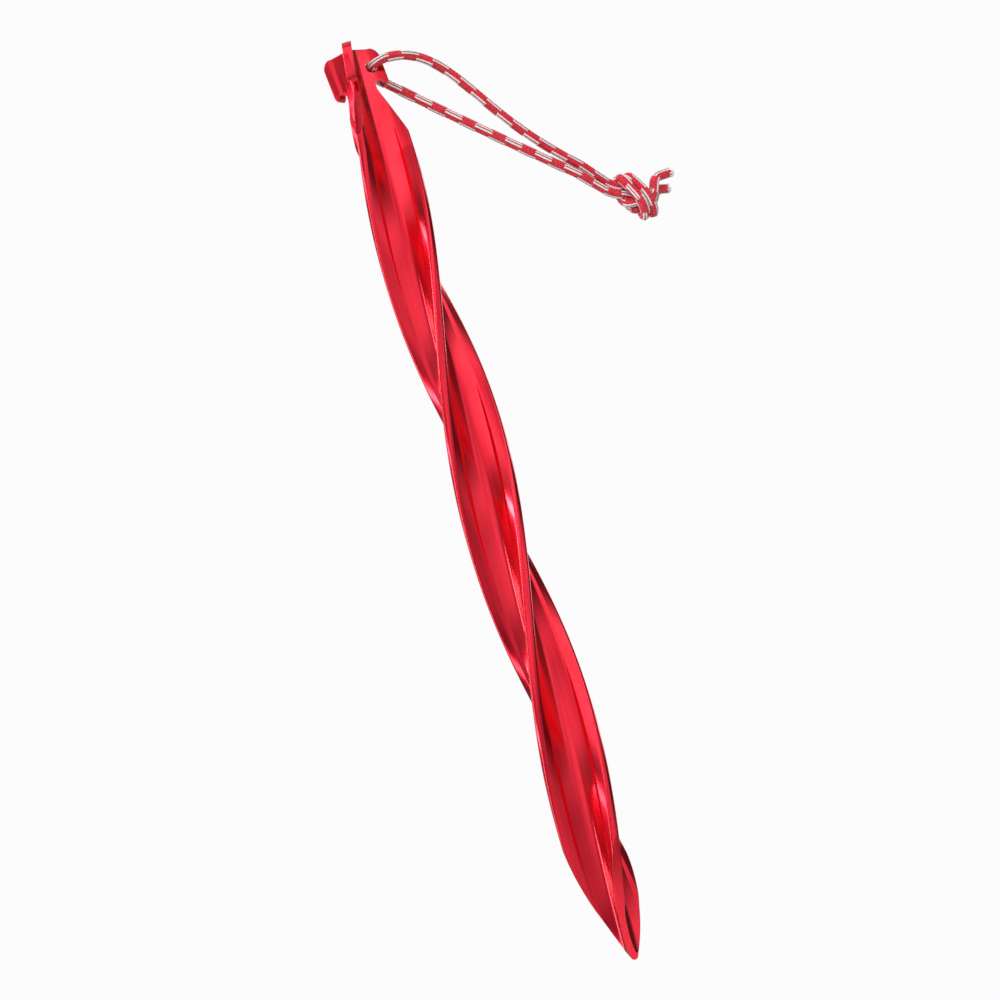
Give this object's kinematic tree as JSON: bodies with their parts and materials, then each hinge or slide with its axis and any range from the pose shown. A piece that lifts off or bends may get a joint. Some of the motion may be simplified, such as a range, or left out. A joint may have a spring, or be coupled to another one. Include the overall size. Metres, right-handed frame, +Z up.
{
  "type": "tent stake",
  "caption": "Twisted Y-section aluminium tent stake with a tapered point, a hooked head that holds a guyline, and a knotted cord loop to pull it out of the ground.",
  "frame": {"origin": "tip of the stake's point, on the beam's axis", "axes": "+Z up the beam's axis to the head; +X along the arm that the cord passes through, at the cord hole's height; +Y along the cord hole"},
  "size_m": [0.0966, 0.0186, 0.254],
  "materials": {
    "beam": "satin red anodised",
    "cord_sheath": "braided red polyester with silver tracer yarns",
    "cord_core": "white twisted yarn",
    "cord_seal": "melted yarn ends"
  },
  "bodies": {
    "stake": {"stake_beam": "beam"},
    "bight": {"bight_sheath": "cord_sheath", "bight_core": "cord_core"},
    "loop_near": {"front_near_sheath": "cord_sheath", "front_near_core": "cord_core", "rear_near_sheath": "cord_sheath", "rear_near_core": "cord_core"},
    "loop_mid": {"front_mid_sheath": "cord_sheath", "front_mid_core": "cord_core", "rear_mid_sheath": "cord_sheath", "rear_mid_core": "cord_core"},
    "loop_far": {"front_far_sheath": "cord_sheath", "front_far_core": "cord_core", "rear_far_sheath": "cord_sheath", "rear_far_core": "cord_core"},
    "knot": {"knot_sheath": "cord_sheath", "knot_core": "cord_core"},
    "upper_tail": {"upper_tail_sheath": "cord_sheath", "upper_tail_core": "cord_core", "upper_tail_seal": "cord_seal"},
    "lower_tail": {"lower_tail_sheath": "cord_sheath", "lower_tail_core": "cord_core", "lower_tail_seal": "cord_seal"}
  },
  "joints": [
    {"name": "loop_swing", "type": "hinge", "parent": "stake", "child": "bight", "pos_m": [0.005, 0, 0.2485], "axis": [0, -1, 0], "range_deg": [-34, 105]},
    {"name": "near_bend", "type": "hinge", "parent": "bight", "child": "loop_near", "pos_m": [0.02438, 0, 0.23968], "axis": [0.4694, -0.5434, 0.696], "range_deg": [-45, 45]},
    {"name": "mid_bend", "type": "hinge", "parent": "loop_near", "child": "loop_mid", "pos_m": [0.0393, 0, 0.22604], "axis": [0, 1, 0], "range_deg": [-35, 35]},
    {"name": "far_bend", "type": "hinge", "parent": "loop_mid", "child": "loop_far", "pos_m": [0.05423, 0, 0.21419], "axis": [0.5328, -0.3034, 0.79], "range_deg": [-45, 45]},
    {"name": "knot_bend", "type": "hinge", "parent": "loop_far", "child": "knot", "pos_m": [0.06911, 0, 0.20405], "axis": [0, 1, 0], "range_deg": [-30, 30]},
    {"name": "upper_tail_bend", "type": "hinge", "parent": "knot", "child": "upper_tail", "pos_m": [0.0797, -0.0024, 0.20439], "axis": [-0.1392, 0, 0.9903], "range_deg": [-30, 30]},
    {"name": "lower_tail_bend", "type": "hinge", "parent": "knot", "child": "lower_tail", "pos_m": [0.08024, -0.0007, 0.20161], "axis": [0.1045, 0, 0.9945], "range_deg": [-30, 30]}
  ]
}
